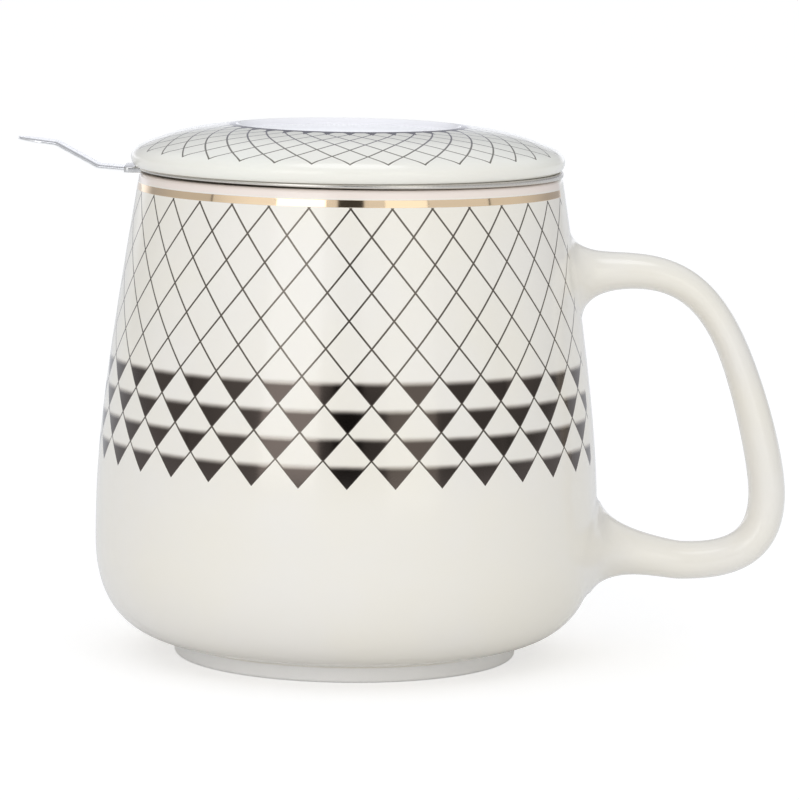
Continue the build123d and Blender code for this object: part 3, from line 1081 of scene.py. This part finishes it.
def makeFloor():
    # One large square. The camera sees a diffuse part plus an even glow, other rays the whole tone.
    material = bpy.data.materials.new("paleFloor")
    finish = Finish(material)
    seen = finish.node("LightPath").outputs["Is Camera Ray"]
    speck = finish.noise(finish.place(), 0.02, 2.0) * 0.01
    tones = studio["floorTone"], studio["floorShade"]
    whole, part = (finish.node("BsdfDiffuse", None, {"Color": (*tone, 1)}) for tone in tones)
    light = {"Color": (1, 1, 1, 1), "Strength": studio["floorGlow"] + speck}
    glow = finish.node("Emission", None, light)
    lifted = finish.node("AddShader", None, {0: part.outputs[0], 1: glow.outputs[0]})
    either = {0: seen, 1: whole.outputs[0], 2: lifted.outputs[0]}
    shown = finish.node("MixShader", None, either)
    finish.node("OutputMaterial", None, {0: shown.outputs[0]})
    bpy.ops.mesh.primitive_plane_add(size=studio["floorSize"])
    floor = bpy.context.object
    floor.name = "floor"
    floor.data.materials.append(material)


def softBox(name, azimuth, radiance, size, tint):
    # a rectangle that faces the mug; power is radiance times pi times its area
    data = bpy.data.lights.new(name, "AREA")
    data.shape = "RECTANGLE"
    data.size, data.size_y = size
    data.energy = radiance * pi * size[0] * size[1]
    data.color = tint
    lamp = bpy.data.objects.new(name, data)
    turn = radians(azimuth)
    reach, height = studio["boxDistance"], studio["boxHeight"]
    place = Vector((reach * sin(turn), -reach * cos(turn), height))
    turned = (place - Vector((0, 0, height))).to_track_quat("Z", "Y").to_matrix().to_4x4()
    lamp.matrix_world = Matrix.Translation(place) @ turned
    scene.collection.objects.link(lamp)


room = {
    # what gloss sees: levels of light, azimuths in degrees from the front, and heights as the
    # upward part of a direction; a pair of either is where a soft edge starts and ends
    "doorway": 0.02,
    "doorEdge": (6.3, 7.6),
    "upper": (0.12, 0.17),  # the walls are brighter above this
    "doorWall": (0.25, 0.45),  # low, and what is added in the upper part
    "doorWallEnd": (18, 5),  # on the right, and how much nearer the front on the left
    "wallStart": (42.2, 1.5),  # past the lamps, likewise
    "leftWall": 0.24,  # added to both of the next on the left
    "wallLow": (0.34, 0.15, (55, 72)),  # and taken off there again further round
    "wallTop": (0.68, 0.4, (50, 95)),
    "corner": 80,
    "sides": 0.52,  # the walls past the corner
    "rightSide": (0.22, 0.34, (0.03, 0.08)),  # taken off on the right, and added above the foot
    "behind": (95, 140),
    "back": (0.42, 0.43, (0.3, 0.65)),  # low, and what is added higher up
    "backFoot": (0.83, (148, 166), (0.18, 0.06)),
    "backLeft": 16,  # how much nearer the front that begins on the left
    "ceiling": (0.45, (0.36, 0.5), (0.6, 0.95)),
    "overhead": (2.0, (0.955, 0.965)),
    "shade": 0.03,  # added everywhere but behind
}


def makeWorld():
    # Even sky for the light itself, cooler overhead. Gloss sees a room instead: a dim doorway in
    # front, walls beside the lamps and past them, and a dim back wall whose foot is white.
    world = bpy.data.worlds.new("studio")
    scene.world = world
    finish = Finish(world)
    x, y, z = finish.split(finish.node("TexCoord").outputs["Generated"])
    side = finish.angle(x, y) * (180 / pi)
    azimuth, onLeft, upper = abs(side), side.under(0), z.ramp(*room["upper"])
    low, more = room["doorWall"]
    level = room["doorway"] + azimuth.ramp(*room["doorEdge"]) * (low + more * upper)
    end, nearer = room["doorWallEnd"]
    level = level * (azimuth - (end - nearer * onLeft)).ramp(0.5, -0.5) + room["shade"]
    low, top = (
        start + onLeft * (room["leftWall"] - less * azimuth.ramp(*edge))
        for start, less, edge in (room["wallLow"], room["wallTop"])
    )
    wall = low + (top - low) * upper
    less, more, edge = room["rightSide"]
    sides = room["sides"] + (1 - onLeft) * (more * z.ramp(*edge) - less)
    corner = room["corner"]
    walls = azimuth.ramp(corner, corner - 1) * wall + azimuth.ramp(corner, corner + 1) * sides
    start, nearer = room["wallStart"]
    level = level + (azimuth - start + nearer * onLeft).ramp(-0.5, 0.5) * walls
    white, sideEdge, topEdge = room["backFoot"]
    foot = (azimuth + room["backLeft"] * onLeft).ramp(*sideEdge) * z.ramp(*topEdge)
    low, more, edge = room["back"]
    behind = azimuth.ramp(*room["behind"])
    level = level * (1 - behind) + behind * (low + more * z.ramp(*edge) + white * foot)
    ceiling, edge, nextEdge = room["ceiling"]
    level = level.most(z.ramp(*edge) * ceiling + z.ramp(*nextEdge) * ceiling)
    overhead, edge = room["overhead"]
    level = level + z.ramp(*edge) * overhead
    path = finish.node("LightPath").outputs
    glossy = Val(finish, path["Is Glossy Ray"]).most(Val(finish, path["Is Transmission Ray"]))
    seen = Val(finish, path["Is Camera Ray"])
    dimmed = 1 - studio["sideDim"] * abs(x).ramp(0.3, 1.0)
    sky = studio["sky"] * dimmed * (1 + studio["skyBehind"] * y.ramp(0.2, 0.9))
    strength = sky * (1 - glossy) + level * glossy
    strength = strength * (1 - seen) + seen
    skyTone = finish.blend(z.ramp(0.35, 1.0), studio["horizon"], studio["zenith"])
    roomTone = finish.blend(behind.most(z.ramp(0.4, 0.9)), (1, 1, 1, 1), studio["behind"])
    tone = finish.blend(seen, finish.blend(glossy, skyTone, roomTone), (1, 1, 1, 1))
    light = finish.node("Background", None, {"Color": tone, "Strength": strength})
    finish.node("OutputWorld", None, {0: light.outputs[0]})


makeFloor()
softBox("leftSoftBox", **studio["leftBox"])
softBox("rightSoftBox", **studio["rightBox"])
makeWorld()
scene.view_settings.view_transform = "Standard"
print("studio set")
